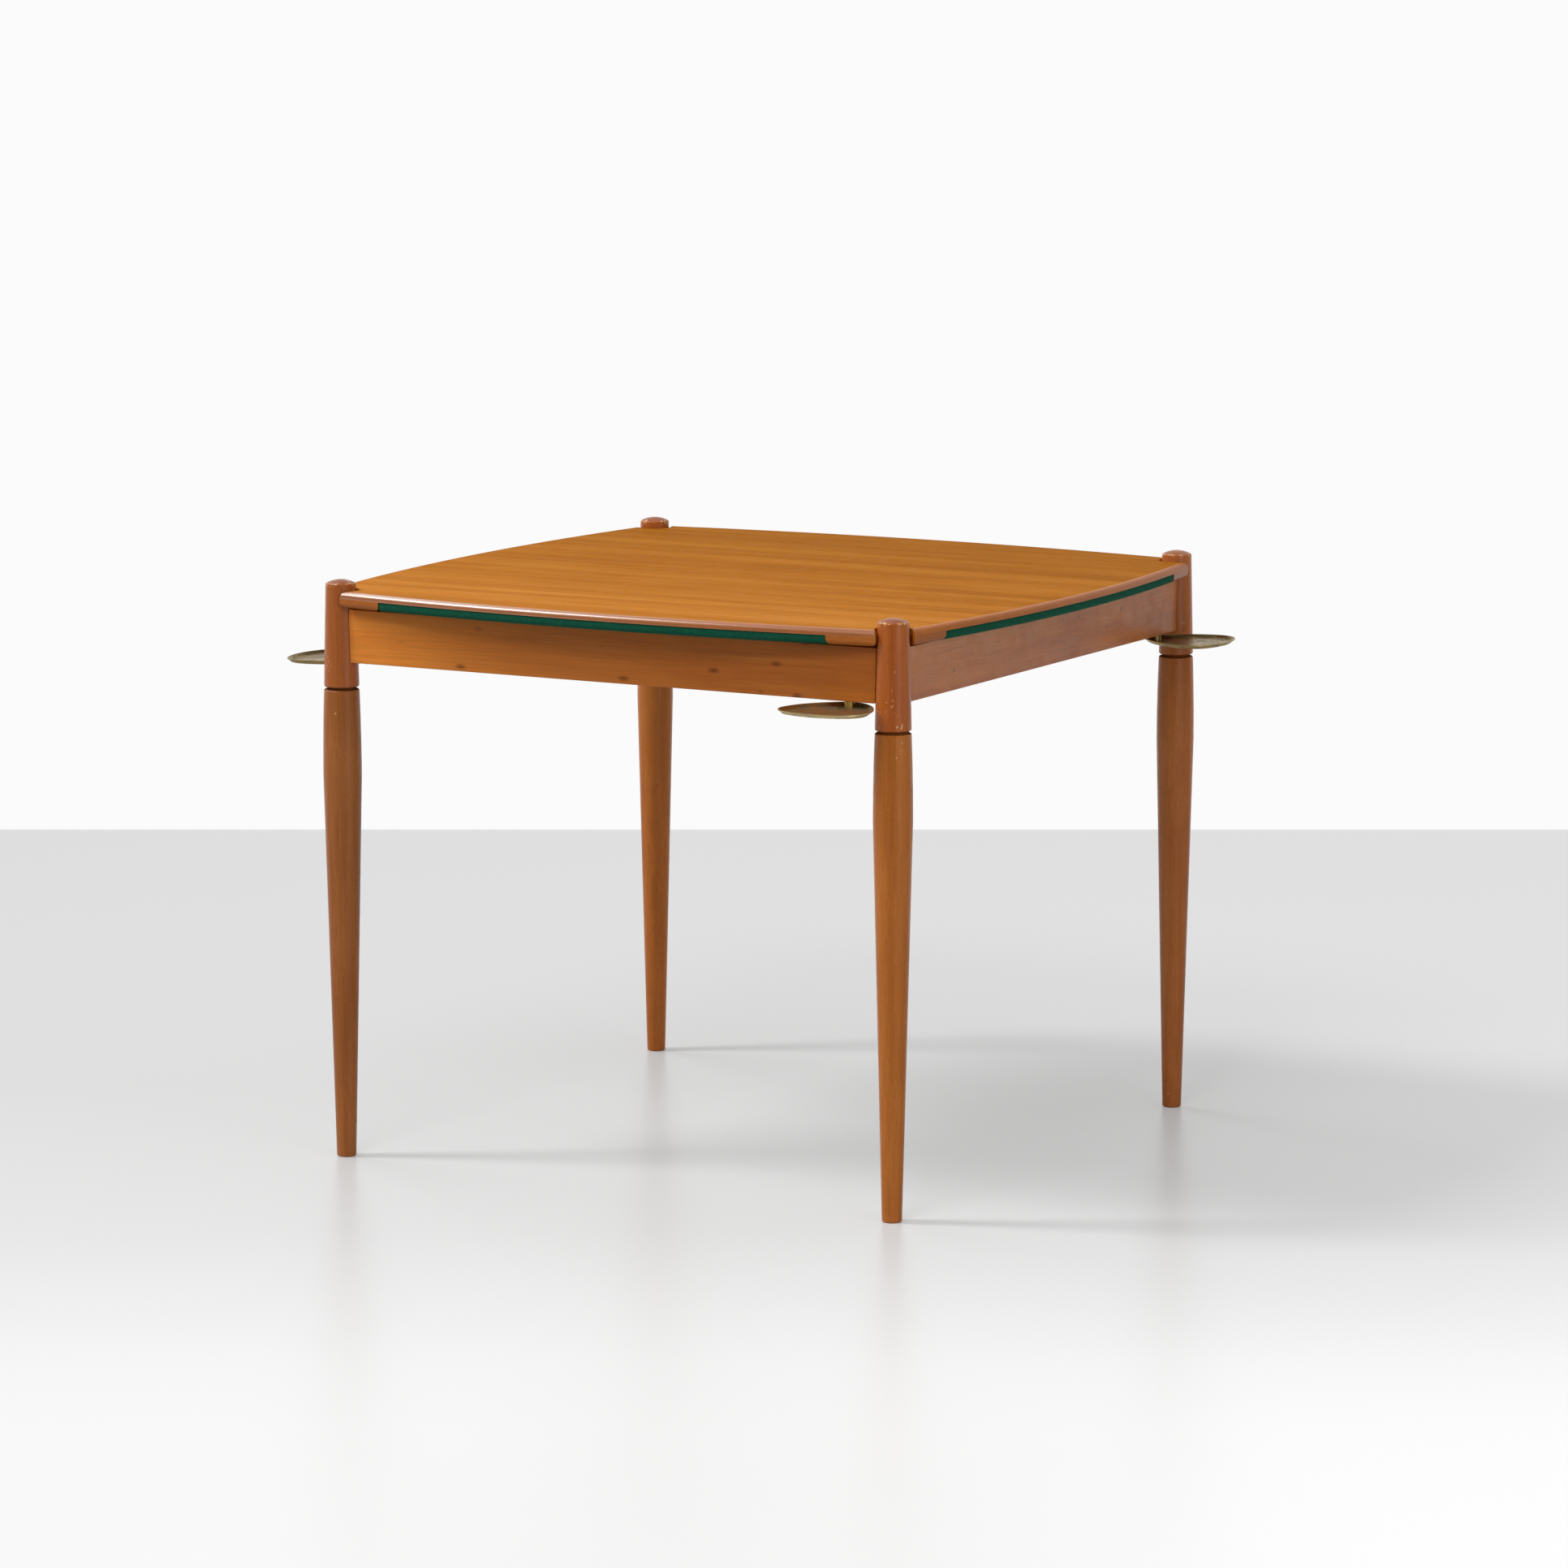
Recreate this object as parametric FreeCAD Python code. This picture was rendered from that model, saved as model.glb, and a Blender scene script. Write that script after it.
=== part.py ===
"""Square games table with a reversible bowed top, screw-in turned legs and four swinging brass trays.

Millimetres. The origin is on the floor under the middle of the table, +Z is up and the front is -Y.
The table is the same after a quarter turn, so each corner and each side is modelled once, at the
front right corner and at the front, and turned about Z.
"""
import FreeCAD, Part
import math
import os

from FreeCAD import Vector

# Stance
post_spacing = 792.0
corner_names = ["front_right", "back_right", "back_left", "front_left"]
side_names = ["front", "right", "back", "left"]

# Leg: straight taper up to a belly, then a soft arc to the head and a narrow neck
leg_length = 604.5
foot_radius = 12.5
foot_chamfer = 1.5
belly_radius = 24.5
belly_below_head = 108.5
leg_head_radius = 22.5
leg_head_chamfer = 1.2
neck_radius = 17.5
neck_height = 3.0

# Corner post: tapers upwards and ends in a low dome
post_height = 132.5
post_foot_radius = 22.4
post_rim_radius = 19.3
post_foot_chamfer = 1.6
post_rim_rounding = 1.6
dome_rise = 4.4

# Screw joint of the leg
stud_radius = 5.0
stud_in_leg = 40.0
stud_in_socket = 32.0
stud_chamfer = 1.2
stud_fit = 0.05
glue_gap = 0.1
socket_wall = 2.0
socket_length = 34.0
socket_flange_radius = 10.0
socket_flange_height = 1.6

# Aprons
apron_thickness = 20.0
apron_height = 68.0
apron_above_joint = 32.5
apron_edge_rounding = 1.0
apron_joint_gap = 0.8
tenon_thickness = 10.0
tenon_height = 50.0
tenon_setback = 7.0

# Corner blocks behind the posts, measured from the inner corner of the aprons
block_near = 25.0
block_reach = 75.0
block_height = 30.0

# Pads that carry the top
pad_radius = 11.0
pad_height = 3.0

# Top: bowed on four sides, with rounded edges and corners hollowed round the posts
top_thickness = 20.0
edge_rounding = 7.0
edge_strip_width = 8.0
side_overhang_middle = 54.0
side_overhang_end = 22.8
prong_setback = 13.0
notch_clearance = 3.5
felt_layer = 11.6
felt_corner_distance = 31.0
felt_gap = 0.8
felt_setback = 1.0
felt_rounding = 6.0
cloth_thickness = 1.5

# Trays: a rounded triangle that swings on a pin near one of its corners
tray_corner_distance = 62.5
tray_side_distance = 52.5
tray_corner_radius = 32.0
tray_pin_to_middle = 50.0
tray_pin_place = 60.0
tray_sheet = 1.0
tray_height = 5.0
tray_flare = 4.0
tray_bend_radius = 2.0
tray_bead_out = 0.5
tray_bead_width = 1.9
tray_bead_height = 1.5
tray_fit = 0.05
spacer_length = 7.6
spacer_radius = 6.3
tray_screw_radius = 2.5
tray_screw_in_apron = 25.0
tray_screw_head_radius = 4.6
tray_screw_head_height = 2.2
washer_radius = 6.5
washer_thickness = 0.8

# Cuts run this far past what they cut
overrun = 5.0
# Ends closer than this are the same point
same_point = 1e-6

# Places worked out from the sizes above
half = post_spacing / 2
post_bottom = leg_length + neck_height
post_rim = post_bottom + post_height
apron_bottom = post_bottom + apron_above_joint
apron_top = apron_bottom + apron_height
apron_half = apron_thickness / 2
top_bottom = apron_top + pad_height
prong_end = half - prong_setback
side_rise = side_overhang_middle - side_overhang_end
side_radius = (prong_end ** 2 + side_rise ** 2) / (2 * side_rise)
side_middle = half + side_overhang_middle
tray_floor_top = apron_bottom - spacer_length
tray_floor_bottom = tray_floor_top - tray_sheet
tray_rim = tray_floor_bottom + tray_height
up = Vector(0, 0, 1)
axis_foot = Vector(0, 0, 0)


def on_circle(across, height, radius, degrees):
    """Point of a circle in the X-Z plane."""
    turn = math.radians(degrees)
    return Vector(across + radius * math.cos(turn), 0, height + radius * math.sin(turn))


def bend(across, height, radius, start, end):
    """Arc of a circle in the X-Z plane, between two angles."""
    points = [on_circle(across, height, radius, angle) for angle in (start, (start + end) / 2, end)]
    return Part.Arc(*points).toShape()


def dome(radius, base, rise):
    """Arc in the X-Z plane from a rim to a level crown on the axis."""
    ball = (radius ** 2 + rise ** 2) / (2 * rise)
    middle = base + rise - ball
    return bend(0, middle, ball, math.degrees(math.atan2(base - middle, radius)), 90)


def closed_face(items):
    """Face whose outline runs through points and arcs in order, with straight edges between them."""
    edges = []
    ends = []
    for item in items:
        if isinstance(item, Vector):
            ends.append((item, item))
        else:
            ends.append((item.valueAt(item.FirstParameter), item.valueAt(item.LastParameter)))
    for index, item in enumerate(items):
        if not isinstance(item, Vector):
            edges.append(item)
        leave = ends[index][1]
        arrive = ends[(index + 1) % len(items)][0]
        if leave.distanceToPoint(arrive) > same_point:
            edges.append(Part.LineSegment(leave, arrive).toShape())
    return Part.Face(Part.Wire(edges))


def turned(items):
    """Solid of revolution about Z, from its half section in the X-Z plane."""
    return closed_face(items).revolve(axis_foot, up, 360)


def rod(radius, low, high):
    """Upright cylinder on the Z axis between two heights."""
    return Part.makeCylinder(radius, high - low, Vector(0, 0, low))


def block(low, high):
    """Box between two opposite corners."""
    return Part.makeBox(high.x - low.x, high.y - low.y, high.z - low.z, low)


def prism(points, low, high):
    """Upright prism over a polygon of (x, y) pairs."""
    corners = [Vector(x, y, low) for x, y in points]
    return Part.Face(Part.makePolygon(corners + corners[:1])).extrude(Vector(0, 0, high - low))


def edges_at(form, height):
    """Edges of a form that lie at a height."""
    return [edge for edge in form.Edges
            if edge.BoundBox.ZLength < same_point and abs(edge.BoundBox.ZMin - height) < same_point]


def is_arc_of(edge, radius):
    """Whether an edge is an arc of a given radius."""
    return isinstance(edge.Curve, Part.Circle) and abs(edge.Curve.Radius - radius) < same_point


def quarter_turns(shape, count):
    """Copy turned about the middle of the table by a number of quarter turns."""
    copy = shape.copy()
    copy.rotate(axis_foot, up, 90 * count)
    return copy


def at_corner(shape, count=0):
    """Copy moved from the Z axis to the front right post, then turned to another corner."""
    copy = shape.copy()
    copy.translate(Vector(half, -half, 0))
    return quarter_turns(copy, count)


def at_pin(shape, count=0):
    """Copy moved from the Z axis to the tray pin of the front right corner, then turned."""
    copy = shape.copy()
    copy.translate(Vector(half - tray_pin_place, -half, 0))
    return quarter_turns(copy, count)


# Posts and the parts inside them

def post_body(grown=0.0):
    """Turned form of a post on the Z axis, grown sideways for the ends that meet it."""
    foot_side = Vector(post_foot_radius + grown, 0, post_bottom + post_foot_chamfer)
    rim_side = Vector(post_rim_radius + grown, 0, post_rim - post_rim_rounding)
    rim_edge = bend(rim_side.x - post_rim_rounding, rim_side.z, post_rim_rounding, 0, 60)
    shoulder = rim_edge.valueAt(rim_edge.LastParameter)
    crown = dome(shoulder.x, shoulder.z, post_rim + dome_rise - shoulder.z)
    return turned([Vector(0, 0, post_bottom), Vector(foot_side.x - post_foot_chamfer, 0, post_bottom),
                   foot_side, rim_edge, crown])


def tenon(reach):
    """Stub tenon in the post on the Z axis, for the apron that comes from -X."""
    middle = (apron_bottom + apron_top) / 2
    low = Vector(-reach, -tenon_thickness / 2, middle - tenon_height / 2)
    high = Vector(-tenon_setback, tenon_thickness / 2, middle + tenon_height / 2)
    return block(low, high)


def post():
    """Post with mortises for its two aprons and a bore for the leg's socket."""
    reach = post_foot_radius + overrun
    mortise = tenon(reach)
    other_mortise = tenon(reach)
    other_mortise.rotate(axis_foot, up, -90)
    bore_radius = stud_radius + stud_fit + socket_wall
    bore = rod(bore_radius + glue_gap, post_bottom - overrun, post_bottom + socket_length)
    flange_seat = rod(socket_flange_radius + glue_gap, post_bottom - overrun,
                      post_bottom + socket_flange_height)
    return post_body().cut([mortise, other_mortise, bore, flange_seat])


def leg_socket():
    """Threaded insert with a flange, let in flush with the foot of the post."""
    bore_radius = stud_radius + stud_fit
    sleeve = rod(bore_radius + socket_wall, post_bottom, post_bottom + socket_length)
    flange = rod(socket_flange_radius, post_bottom, post_bottom + socket_flange_height)
    bore = rod(bore_radius, post_bottom - overrun, post_bottom + socket_length + overrun)
    return sleeve.fuse(flange).cut(bore).removeSplitter()


# Legs

def leg():
    """Turned leg with a hole for its stud down through the neck."""
    belly = Vector(belly_radius, 0, leg_length - belly_below_head)
    head_side = Vector(leg_head_radius, 0, leg_length - leg_head_chamfer)
    drop = belly.x - head_side.x
    rise = head_side.z - belly.z
    swing = (drop ** 2 + rise ** 2) / (2 * drop)
    lean = math.degrees(math.asin(rise / swing))
    shoulder = bend(belly.x - swing, belly.z, swing, 0, lean)
    hole_radius = stud_radius + glue_gap
    return turned([Vector(0, 0, 0), Vector(foot_radius - foot_chamfer, 0, 0),
                   Vector(foot_radius, 0, foot_chamfer), shoulder,
                   Vector(leg_head_radius - leg_head_chamfer, 0, leg_length),
                   Vector(neck_radius, 0, leg_length), Vector(neck_radius, 0, post_bottom),
                   Vector(hole_radius, 0, post_bottom),
                   Vector(hole_radius, 0, post_bottom - stud_in_leg),
                   Vector(0, 0, post_bottom - stud_in_leg)])


def leg_stud():
    """Threaded rod, half in the leg and half in the socket of the post."""
    low = post_bottom - stud_in_leg
    high = post_bottom + stud_in_socket
    tip = stud_radius - stud_chamfer
    return turned([Vector(0, 0, low), Vector(stud_radius, 0, low),
                   Vector(stud_radius, 0, high - stud_chamfer), Vector(tip, 0, high),
                   Vector(0, 0, high)])


# Aprons, corner blocks and pads

def front_apron():
    """Front apron: a board scribed to both posts, with a stub tenon at each end."""
    board = block(Vector(-half, -half - apron_half, apron_bottom),
                  Vector(half, -half + apron_half, apron_top))
    long_edges = [edge for edge in board.Edges if edge.Length > post_spacing - same_point]
    board = board.makeFillet(apron_edge_rounding, long_edges)
    right_post = at_corner(post_body(apron_joint_gap))
    left_post = at_corner(post_body(apron_joint_gap), 3)
    board = board.cut([right_post, left_post])
    right_tenon = at_corner(tenon(post_foot_radius + overrun))
    left_tenon = right_tenon.mirror(axis_foot, Vector(1, 0, 0))
    board = board.fuse([right_tenon, left_tenon]).removeSplitter()
    screw_hole = rod(tray_screw_radius + tray_fit, apron_bottom - overrun,
                     apron_bottom + tray_screw_in_apron)
    return board.cut(at_pin(screw_hole))


def corner_block():
    """Block glued across the inner corner of two aprons."""
    near = apron_half + block_near
    far = apron_half + block_reach
    outline = [(-apron_half, near), (-near, apron_half), (-far, apron_half), (-apron_half, far)]
    return prism(outline, apron_top - block_height, apron_top)


def rest_pad():
    """Round pad on the middle of a corner block."""
    place = apron_half + (block_near + block_reach) / 4
    pad = rod(pad_radius, apron_top, top_bottom)
    pad.translate(Vector(-place, place, 0))
    return pad


# Top, modelled with its underside at height zero and lifted to its place afterwards

def lifted(shape):
    """Copy of a piece of the top, raised to where the rest pads carry it."""
    copy = shape.copy()
    copy.translate(Vector(0, 0, top_bottom))
    return copy


def bowed_plate(inset, low, high):
    """Plate with square edges: what four large discs share, one for each bowed side of the top.

    The inset draws it in from the outermost line of the top.
    """
    disc = rod(side_radius - inset, low, high)
    disc.translate(Vector(0, side_radius - side_middle, 0))
    plate = disc
    for count in (1, 2, 3):
        plate = plate.common(quarter_turns(disc, count))
    return plate


def panel_form():
    """The whole top as one body: bowed sides, straight prong ends and a hollow at each post."""
    reach = side_middle + overrun
    bar = block(Vector(-prong_end, -reach, -overrun), Vector(prong_end, reach, top_thickness + overrun))
    cross = bar.fuse(quarter_turns(bar, 1))
    hollow_radius = post_radius_at(top_bottom) + notch_clearance
    hollow = rod(hollow_radius, -overrun, top_thickness + overrun)
    form = bowed_plate(0, 0, top_thickness).common(cross)
    form = form.cut([at_corner(hollow, count) for count in range(4)])
    rims = edges_at(form, 0) + edges_at(form, top_thickness)
    rims = [edge for edge in rims if not is_arc_of(edge, hollow_radius)]
    return form.makeFillet(edge_rounding, rims)


def post_radius_at(height):
    """Radius of the post at a height."""
    share = (height - post_bottom) / post_height
    return post_foot_radius + (post_rim_radius - post_foot_radius) * share


def octagon(inset, low, high):
    """Prism that cuts the four corners off the felt layer, at 45 degrees."""
    reach = side_middle + overrun
    corner_sum = 2 * half - (felt_corner_distance + inset) * math.sqrt(2)
    short = corner_sum - reach
    points = [(reach, -short), (reach, short), (short, reach), (-short, reach),
              (-reach, short), (-reach, -short), (-short, -reach), (short, -reach)]
    return prism(points, low, high)


def top_board(panel):
    """Upper layer inside the edge strips."""
    core = bowed_plate(edge_strip_width, felt_layer, top_thickness + overrun)
    return panel.common(core)


def front_edge_strip(panel):
    """Rounded lipping along the front of the upper layer."""
    core = bowed_plate(edge_strip_width, -overrun, top_thickness + overrun)
    reach = side_middle + overrun
    front = prism([(0, 0), (-reach, -reach), (reach, -reach)], felt_layer, top_thickness + overrun)
    return panel.common(front).cut(core)


def front_right_top_corner(panel):
    """Solid corner of the lower layer, between the felt and the hollow."""
    reach = side_middle + overrun
    quadrant = block(Vector(0, -reach, -overrun), Vector(reach, 0, felt_layer))
    return panel.common(quadrant).cut(octagon(0, -overrun, felt_layer + overrun))


def felt_form(inset):
    """Felt layer without its corners, drawn in by an inset on its sides and its underside."""
    plate = bowed_plate(felt_setback + inset, inset, felt_layer)
    plate = plate.common(octagon(felt_gap + inset, -overrun, felt_layer + overrun))
    long_edges = [edge for edge in edges_at(plate, inset) if isinstance(edge.Curve, Part.Circle)]
    return plate.makeFillet(felt_rounding - inset, long_edges)


# Trays

def tray_face(inset, height):
    """Rounded triangle round the tray's middle, drawn in by an inset, as a level face.

    The pin is the origin and the tray points to -Y. Three wide arcs are its sides and three tight
    ones its corners. All insets share the same centres, so the outlines are parallel.
    """
    to_corner = tray_corner_distance - tray_corner_radius
    to_flat = tray_side_distance - tray_corner_radius
    behind = (to_corner ** 2 - to_flat ** 2) / (2 * to_flat - to_corner)
    middle = Vector(0, -tray_pin_to_middle, height)

    def toward(degrees):
        return Vector(math.cos(math.radians(degrees)), math.sin(math.radians(degrees)), 0)

    def join(corner_angle, side_angle):
        corner_centre = middle + toward(corner_angle) * to_corner
        side_centre = middle - toward(side_angle) * behind
        outward = (corner_centre - side_centre).normalize()
        return corner_centre + outward * (tray_corner_radius - inset)

    edges = []
    for corner_angle in (90, 210, 330):
        side_before = corner_angle - 60
        side_after = corner_angle + 60
        tip = middle + toward(corner_angle) * (tray_corner_distance - inset)
        flat = middle + toward(side_after) * (tray_side_distance - inset)
        corner_start = join(corner_angle, side_before)
        corner_end = join(corner_angle, side_after)
        next_start = join(corner_angle + 120, side_after)
        edges.append(Part.Arc(corner_start, tip, corner_end).toShape())
        edges.append(Part.Arc(corner_end, flat, next_start).toShape())
    return Part.Face(Part.Wire(edges))


def flared(inset_low, low, inset_high, high):
    """Solid between two parallel tray outlines at two heights."""
    wires = [tray_face(inset_low, low).OuterWire, tray_face(inset_high, high).OuterWire]
    return Part.makeLoft(wires, True, True)


def tray():
    """Sheet tray with a flared wall, a thickened rim and a hole for its pin."""
    slope = tray_flare / tray_height
    outer = flared(tray_flare, tray_floor_bottom, 0, tray_rim)
    outer = outer.makeFillet(tray_bend_radius, edges_at(outer, tray_floor_bottom))
    mouth = tray_rim + overrun
    inner = flared(tray_flare - slope * tray_sheet + tray_sheet, tray_floor_top,
                   tray_sheet - slope * overrun, mouth)
    inner = inner.makeChamfer(tray_bend_radius - tray_sheet, edges_at(inner, tray_floor_top))
    bead_low = tray_rim - tray_bead_height
    bead = tray_face(-tray_bead_out, bead_low).extrude(Vector(0, 0, tray_bead_height))
    well = tray_face(tray_bead_width - tray_bead_out, bead_low - overrun)
    well = well.extrude(Vector(0, 0, tray_bead_height + 2 * overrun))
    hole = rod(tray_screw_radius + tray_fit, tray_floor_bottom - overrun, tray_floor_top + overrun)
    return outer.cut(inner).fuse(bead.cut(well)).removeSplitter().cut(hole)


def tray_spacer():
    """Round stub between the underside of the apron and the floor of the tray."""
    tube = rod(spacer_radius, tray_floor_top, apron_bottom)
    return tube.cut(rod(tray_screw_radius + tray_fit, tray_floor_top - overrun, apron_bottom + overrun))


def tray_washer():
    """Washer between the tray and the head of its screw."""
    low = tray_floor_bottom - washer_thickness
    disc = rod(washer_radius, low, tray_floor_bottom)
    return disc.cut(rod(tray_screw_radius + tray_fit, low - overrun, tray_floor_bottom + overrun))


def tray_screw():
    """Screw from below, whose shank is the tray's pivot."""
    seat = tray_floor_bottom - washer_thickness
    tip = apron_bottom + tray_screw_in_apron
    head = dome(tray_screw_head_radius, 0, tray_screw_head_height)
    head.rotate(axis_foot, Vector(1, 0, 0), 180)
    head.translate(Vector(0, 0, seat))
    crown = Vector(0, 0, seat - tray_screw_head_height)
    under_head = Vector(tray_screw_head_radius, 0, seat)
    bulging = Part.Arc(under_head, head.valueAt((head.FirstParameter + head.LastParameter) / 2), crown)
    return turned([bulging.toShape(), Vector(0, 0, tip), Vector(tray_screw_radius, 0, tip),
                   Vector(tray_screw_radius, 0, seat)])


def group(place, shape):
    """Copies of a small part at all four corners, as separate solids of one node."""
    return Part.makeCompound([place(shape, count) for count in range(4)])


def build():
    """All nodes of the table by name."""
    nodes = {}
    panel = panel_form()
    felt_outside = felt_form(0)
    felt_inside = felt_form(cloth_thickness)
    base_post = post()
    base_leg = leg()
    base_stud = leg_stud()
    base_apron = front_apron()
    base_block = corner_block()
    base_strip = lifted(front_edge_strip(panel))
    base_corner = lifted(front_right_top_corner(panel))
    base_tray = tray()
    for count, corner in enumerate(corner_names):
        nodes["post_" + corner] = at_corner(base_post, count)
        nodes["leg_" + corner] = at_corner(base_leg, count)
        nodes["leg_stud_" + corner] = at_corner(base_stud, count)
        nodes["corner_block_" + corner] = at_corner(base_block, count)
        nodes["top_corner_" + corner] = quarter_turns(base_corner, count)
        nodes["tray_" + corner] = at_pin(base_tray, count)
    for count, side in enumerate(side_names):
        nodes["apron_" + side] = quarter_turns(base_apron, count)
        nodes["edge_strip_" + side] = quarter_turns(base_strip, count)
    nodes["top_board"] = lifted(top_board(panel))
    nodes["felt_board"] = lifted(felt_inside)
    nodes["felt_cover"] = lifted(felt_outside.cut(felt_inside))
    nodes["leg_sockets"] = group(at_corner, leg_socket())
    nodes["rest_pads"] = group(at_corner, rest_pad())
    nodes["tray_spacers"] = group(at_pin, tray_spacer())
    nodes["tray_washers"] = group(at_pin, tray_washer())
    nodes["tray_screws"] = group(at_pin, tray_screw())
    return nodes


os.makedirs("parts", exist_ok=True)
for name, shape in build().items():
    shape.exportStep("parts/" + name + ".step")
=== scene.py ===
"""Looks of the square games table: materials, the felt cloth, threads, slotted screws, floor and light.

Metres, in the frame of the model: the origin is on the floor under the middle of the table, +Z is up
and the front is -Y.
"""
import math

import bmesh
import bpy
from mathutils import Matrix, Vector


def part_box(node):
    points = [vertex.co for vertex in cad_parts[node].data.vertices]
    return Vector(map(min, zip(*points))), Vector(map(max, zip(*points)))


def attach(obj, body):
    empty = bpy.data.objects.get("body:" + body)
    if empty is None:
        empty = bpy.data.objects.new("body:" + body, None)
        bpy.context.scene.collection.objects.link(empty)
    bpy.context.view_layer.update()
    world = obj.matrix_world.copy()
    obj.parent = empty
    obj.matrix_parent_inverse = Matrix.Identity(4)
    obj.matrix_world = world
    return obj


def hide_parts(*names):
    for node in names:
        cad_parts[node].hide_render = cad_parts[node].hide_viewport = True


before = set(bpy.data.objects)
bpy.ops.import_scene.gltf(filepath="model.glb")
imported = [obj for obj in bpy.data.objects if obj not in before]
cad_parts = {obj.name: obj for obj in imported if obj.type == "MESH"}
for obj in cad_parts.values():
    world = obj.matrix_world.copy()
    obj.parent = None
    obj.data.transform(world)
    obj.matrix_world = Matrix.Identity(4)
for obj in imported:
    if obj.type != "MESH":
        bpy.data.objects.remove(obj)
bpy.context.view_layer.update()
scene = bpy.context.scene

# Measures of the model that the materials and the pieces made here follow

CORNERS = ("front_right", "back_right", "back_left", "front_left")
SIDES = ("front", "right", "back", "left")
HALF = 0.396                    # from the middle of the table to a post's axis
PIVOT_PLACE = 0.060             # from a post's axis to the pivot of its tray
SIDE_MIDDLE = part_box("edge_strip_right")[1].x
SIDE_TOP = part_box("edge_strip_right")[1].z
SIDE_END = 0.383                # from the middle of a bowed side to its end
SIDE_RISE = 0.0312              # how far a bowed side stands out in its middle
SIDE_RADIUS = (SIDE_END ** 2 + SIDE_RISE ** 2) / (2 * SIDE_RISE)
SIDE_CENTRE = SIDE_RADIUS - SIDE_MIDDLE
EDGE_ROUNDING = 0.007
FELT_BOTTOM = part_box("felt_cover")[0].z
FELT_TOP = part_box("felt_cover")[1].z
FELT_SETBACK = 0.001            # of the felt's bowed sides behind the wood's
FELT_CORNER = 0.0318            # from a post's axis to the slanted edge of the felt
GROOVE_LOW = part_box("leg_front_right")[1].z - 0.0034
GROOVE_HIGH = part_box("post_front_right")[0].z + 0.0008
HEAD_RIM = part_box("post_front_right")[1].z - 0.0050     # where a post's domed head starts
TRAY_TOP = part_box("tray_front_right")[1].z


# Colours

def linear(code):
    """Linear colour, with alpha, from a hex code."""
    values = [int(code[i:i + 2], 16) / 255 for i in (0, 2, 4)]
    return [v / 12.92 if v <= 0.04045 else ((v + 0.055) / 1.055) ** 2.4 for v in values] + [1.0]


def grey(tone):
    return [tone, tone, tone, 1.0]


def scaled(colour, factor):
    """The colour, darker or lighter."""
    return [value * factor for value in colour[:3]] + [1.0]


def shaded(tones, shade):
    """The same tones for another piece: each of red, green and blue times its own factor."""
    # Used for lighter and darker copies of one material: painted light and shade, and for the trays partly
    # tarnish.
    return [[value * factor for value, factor in zip(tone, shade)] + [1.0] for tone in tones]


# Node helpers

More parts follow.
